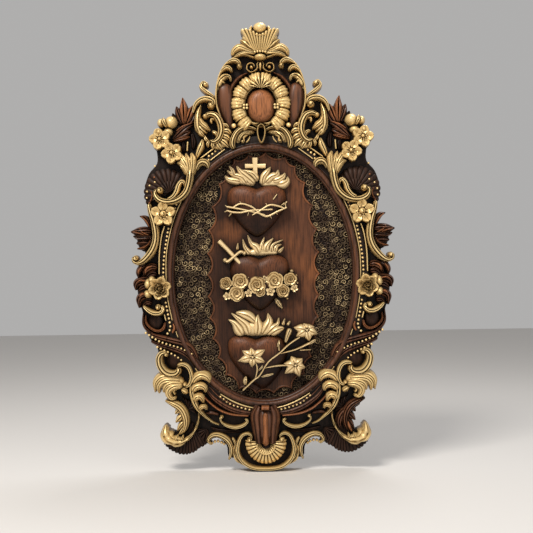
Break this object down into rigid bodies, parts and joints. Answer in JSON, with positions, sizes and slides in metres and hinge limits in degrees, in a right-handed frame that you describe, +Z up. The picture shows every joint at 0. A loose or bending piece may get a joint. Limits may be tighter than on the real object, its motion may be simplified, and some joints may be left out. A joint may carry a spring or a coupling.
{
  "type": "carved wooden retablo",
  "caption": "Carved wooden retablo to hang on a wall: a scrolled oval frame with a crest, round a recessed panel of carved hearts.",
  "frame": {"origin": "centre of the oval opening, on the flat back that lies on the wall", "axes": "+Z up, +X to the viewer's right, +Y into the wall; the carved face looks to -Y"},
  "size_m": [0.354, 0.0382, 0.6],
  "materials": {
    "dark_wood": "waxed dark stain",
    "field_wood": "rubbed brown stain"
  },
  "bodies": {
    "root": {"frame": "dark_wood", "panel": "field_wood"}
  },
  "joints": []
}
